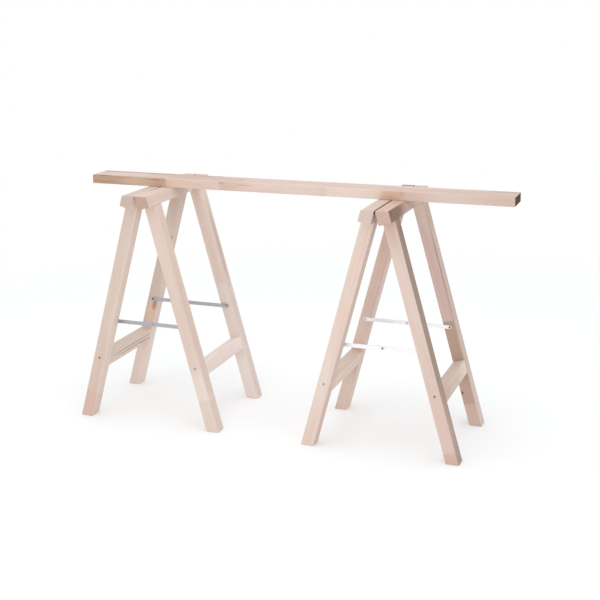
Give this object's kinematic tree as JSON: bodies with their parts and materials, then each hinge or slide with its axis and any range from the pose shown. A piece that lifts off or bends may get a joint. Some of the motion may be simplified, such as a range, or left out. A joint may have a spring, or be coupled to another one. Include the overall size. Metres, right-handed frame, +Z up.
{
  "type": "folding trestle workbench",
  "caption": "Loose beech plank laid across folding wooden trestles with hinged leg frames, stretchers and jointed steel stays, used as a light workbench.",
  "frame": {"origin": "on the floor, under the middle of the plank's length and of the trestles' width", "axes": "+X along the plank, to the right seen from the front; +Y away from the front, along the trestles' rails; +Z up"},
  "size_m": [1.474, 0.475, 0.83],
  "materials": {
    "beech": "planed and sanded, bare",
    "stay_steel": "zinc plated",
    "hinge_steel": "zinc plated, oiled at the knuckles",
    "screw_steel": "brown phosphated"
  },
  "bodies": {
    "left_trestle_left_frame": {"left_trestle_left_front_leg": "beech", "left_trestle_left_hinge_leaf": "hinge_steel", "left_trestle_left_hinge_screws": "hinge_steel", "left_trestle_left_rail": "beech", "left_trestle_left_rear_leg": "beech", "left_trestle_left_stay_screws": "stay_steel", "left_trestle_left_stretcher": "beech", "left_trestle_left_stretcher_dowels": "beech", "left_trestle_left_stretcher_screws": "screw_steel", "left_trestle_hinge_pin": "hinge_steel"},
    "left_trestle_right_frame": {"left_trestle_right_front_leg": "beech", "left_trestle_right_hinge_leaf": "hinge_steel", "left_trestle_right_hinge_screws": "hinge_steel", "left_trestle_right_rail": "beech", "left_trestle_right_rear_leg": "beech", "left_trestle_right_stay_screws": "stay_steel", "left_trestle_right_stretcher": "beech", "left_trestle_right_stretcher_dowels": "beech", "left_trestle_right_stretcher_screws": "screw_steel", "left_trestle_stay_washers": "stay_steel"},
    "left_trestle_front_stay_left_link": {"left_trestle_front_stay_left_link": "stay_steel", "left_trestle_front_stay_rivet_tail": "stay_steel"},
    "left_trestle_front_stay_right_link": {"left_trestle_front_stay_right_link": "stay_steel", "left_trestle_front_stay_rivet_head": "stay_steel"},
    "left_trestle_rear_stay_left_link": {"left_trestle_rear_stay_left_link": "stay_steel", "left_trestle_rear_stay_rivet_tail": "stay_steel"},
    "left_trestle_rear_stay_right_link": {"left_trestle_rear_stay_right_link": "stay_steel", "left_trestle_rear_stay_rivet_head": "stay_steel"},
    "right_trestle_left_frame": {"right_trestle_left_front_leg": "beech", "right_trestle_left_hinge_leaf": "hinge_steel", "right_trestle_left_hinge_screws": "hinge_steel", "right_trestle_left_rail": "beech", "right_trestle_left_rear_leg": "beech", "right_trestle_left_stay_screws": "stay_steel", "right_trestle_left_stretcher": "beech", "right_trestle_left_stretcher_dowels": "beech", "right_trestle_left_stretcher_screws": "screw_steel", "right_trestle_hinge_pin": "hinge_steel"},
    "right_trestle_right_frame": {"right_trestle_right_front_leg": "beech", "right_trestle_right_hinge_leaf": "hinge_steel", "right_trestle_right_hinge_screws": "hinge_steel", "right_trestle_right_rail": "beech", "right_trestle_right_rear_leg": "beech", "right_trestle_right_stay_screws": "stay_steel", "right_trestle_right_stretcher": "beech", "right_trestle_right_stretcher_dowels": "beech", "right_trestle_right_stretcher_screws": "screw_steel", "right_trestle_stay_washers": "stay_steel"},
    "right_trestle_front_stay_left_link": {"right_trestle_front_stay_left_link": "stay_steel", "right_trestle_front_stay_rivet_tail": "stay_steel"},
    "right_trestle_front_stay_right_link": {"right_trestle_front_stay_right_link": "stay_steel", "right_trestle_front_stay_rivet_head": "stay_steel"},
    "right_trestle_rear_stay_left_link": {"right_trestle_rear_stay_left_link": "stay_steel", "right_trestle_rear_stay_rivet_tail": "stay_steel"},
    "right_trestle_rear_stay_right_link": {"right_trestle_rear_stay_right_link": "stay_steel", "right_trestle_rear_stay_rivet_head": "stay_steel"},
    "plank": {"plank": "beech"}
  },
  "joints": [
    {"name": "left_trestle_fold", "type": "hinge", "parent": "left_trestle_left_frame", "child": "left_trestle_right_frame", "pos_m": [-0.474, 0, 0.7945], "axis": [0, 1, 0], "range_deg": [0, 30.5]},
    {"name": "left_trestle_front_stay_left_pivot", "type": "hinge", "parent": "left_trestle_left_frame", "child": "left_trestle_front_stay_left_link", "pos_m": [-0.62227, -0.1485, 0.34], "axis": [0, 1, 0], "range_deg": [-66, 0]},
    {"name": "left_trestle_front_stay_right_pivot", "type": "hinge", "parent": "left_trestle_right_frame", "child": "left_trestle_front_stay_right_link", "pos_m": [-0.32573, -0.1485, 0.34], "axis": [0, 1, 0], "range_deg": [0, 66]},
    {"name": "left_trestle_rear_stay_left_pivot", "type": "hinge", "parent": "left_trestle_left_frame", "child": "left_trestle_rear_stay_left_link", "pos_m": [-0.62227, 0.1485, 0.34], "axis": [0, 1, 0], "range_deg": [-66, 0]},
    {"name": "left_trestle_rear_stay_right_pivot", "type": "hinge", "parent": "left_trestle_right_frame", "child": "left_trestle_rear_stay_right_link", "pos_m": [-0.32573, 0.1485, 0.34], "axis": [0, 1, 0], "range_deg": [0, 66]},
    {"name": "right_trestle_spacing", "type": "slide", "parent": "left_trestle_left_frame", "child": "right_trestle_left_frame", "axis": [1, 0, 0], "range_m": [-0.25, 0.3]},
    {"name": "right_trestle_fold", "type": "hinge", "parent": "right_trestle_left_frame", "child": "right_trestle_right_frame", "pos_m": [0.346, 0, 0.7945], "axis": [0, 1, 0], "range_deg": [0, 30.5]},
    {"name": "right_trestle_front_stay_left_pivot", "type": "hinge", "parent": "right_trestle_left_frame", "child": "right_trestle_front_stay_left_link", "pos_m": [0.19773, -0.1485, 0.34], "axis": [0, 1, 0], "range_deg": [-66, 0]},
    {"name": "right_trestle_front_stay_right_pivot", "type": "hinge", "parent": "right_trestle_right_frame", "child": "right_trestle_front_stay_right_link", "pos_m": [0.49427, -0.1485, 0.34], "axis": [0, 1, 0], "range_deg": [0, 66]},
    {"name": "right_trestle_rear_stay_left_pivot", "type": "hinge", "parent": "right_trestle_left_frame", "child": "right_trestle_rear_stay_left_link", "pos_m": [0.19773, 0.1485, 0.34], "axis": [0, 1, 0], "range_deg": [-66, 0]},
    {"name": "right_trestle_rear_stay_right_pivot", "type": "hinge", "parent": "right_trestle_right_frame", "child": "right_trestle_rear_stay_right_link", "pos_m": [0.49427, 0.1485, 0.34], "axis": [0, 1, 0], "range_deg": [0, 66]},
    {"name": "plank_lift", "type": "slide", "parent": "left_trestle_left_frame", "child": "plank", "axis": [0, 0, 1], "range_m": [0, 0.3]}
  ],
  "couplings": [
    {"joint": "left_trestle_front_stay_left_pivot", "follows": "left_trestle_fold", "ratio": -2.1518},
    {"joint": "left_trestle_front_stay_right_pivot", "follows": "left_trestle_fold", "ratio": 2.1518},
    {"joint": "left_trestle_rear_stay_left_pivot", "follows": "left_trestle_fold", "ratio": -2.1518},
    {"joint": "left_trestle_rear_stay_right_pivot", "follows": "left_trestle_fold", "ratio": 2.1518},
    {"joint": "right_trestle_front_stay_left_pivot", "follows": "right_trestle_fold", "ratio": -2.1518},
    {"joint": "right_trestle_front_stay_right_pivot", "follows": "right_trestle_fold", "ratio": 2.1518},
    {"joint": "right_trestle_rear_stay_left_pivot", "follows": "right_trestle_fold", "ratio": -2.1518},
    {"joint": "right_trestle_rear_stay_right_pivot", "follows": "right_trestle_fold", "ratio": 2.1518}
  ]
}
